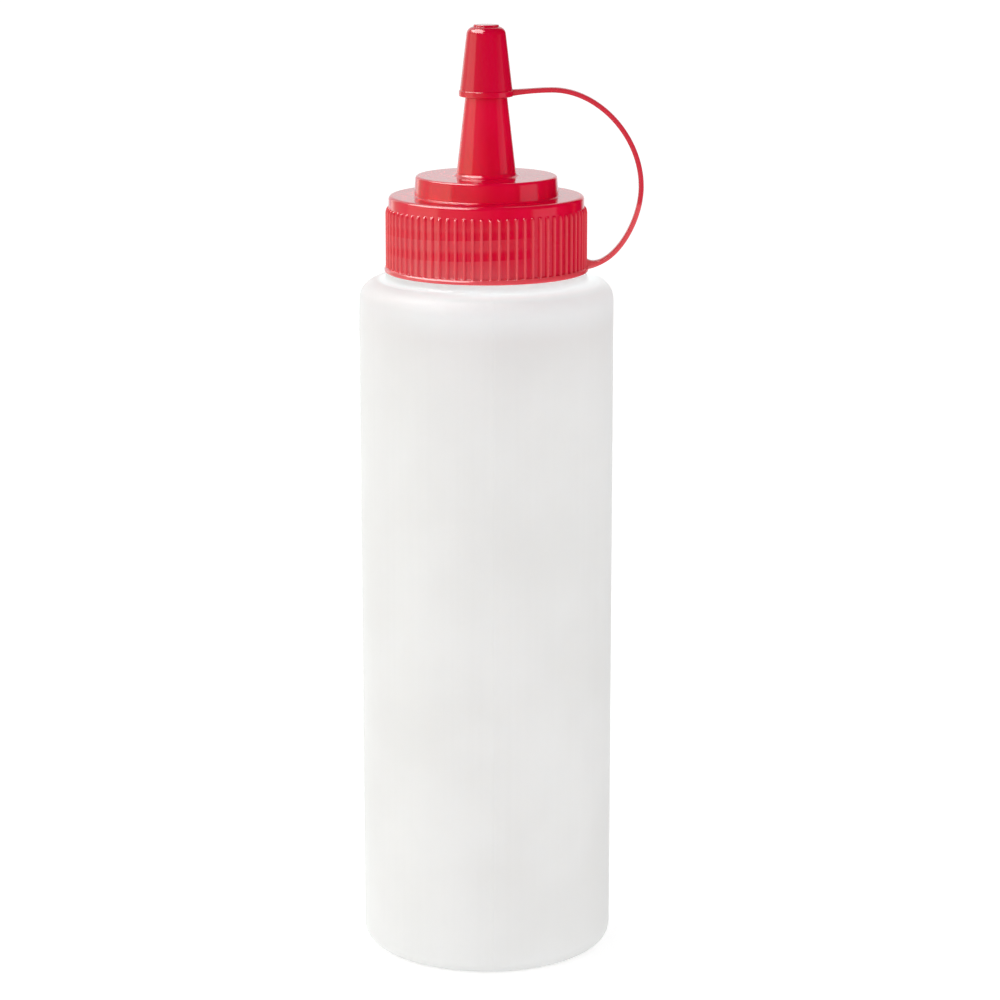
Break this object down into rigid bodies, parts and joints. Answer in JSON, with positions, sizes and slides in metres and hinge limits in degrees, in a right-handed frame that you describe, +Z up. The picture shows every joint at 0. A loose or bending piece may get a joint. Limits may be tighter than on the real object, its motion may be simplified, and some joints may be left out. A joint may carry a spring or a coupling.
{
  "type": "condiment squeeze bottle",
  "caption": "Round milky plastic squeeze bottle with a red ribbed screw cap, a tapered spout, and a small tip cap held by a looped strap.",
  "frame": {"origin": "centre of the bottle's flat base, on the bottle's axis", "axes": "+Z up along the bottle's axis to the spout, +X towards the strap, -Y towards the side that the picture shows"},
  "size_m": [0.0565, 0.0508, 0.1877],
  "materials": {
    "milky_plastic": "milky natural plastic, see-through only as a glow, with a soft satin sheen",
    "red_plastic": "moulded red plastic, half gloss"
  },
  "bodies": {
    "root": {"bottle": "milky_plastic", "spout_cap": "red_plastic"}
  },
  "joints": []
}
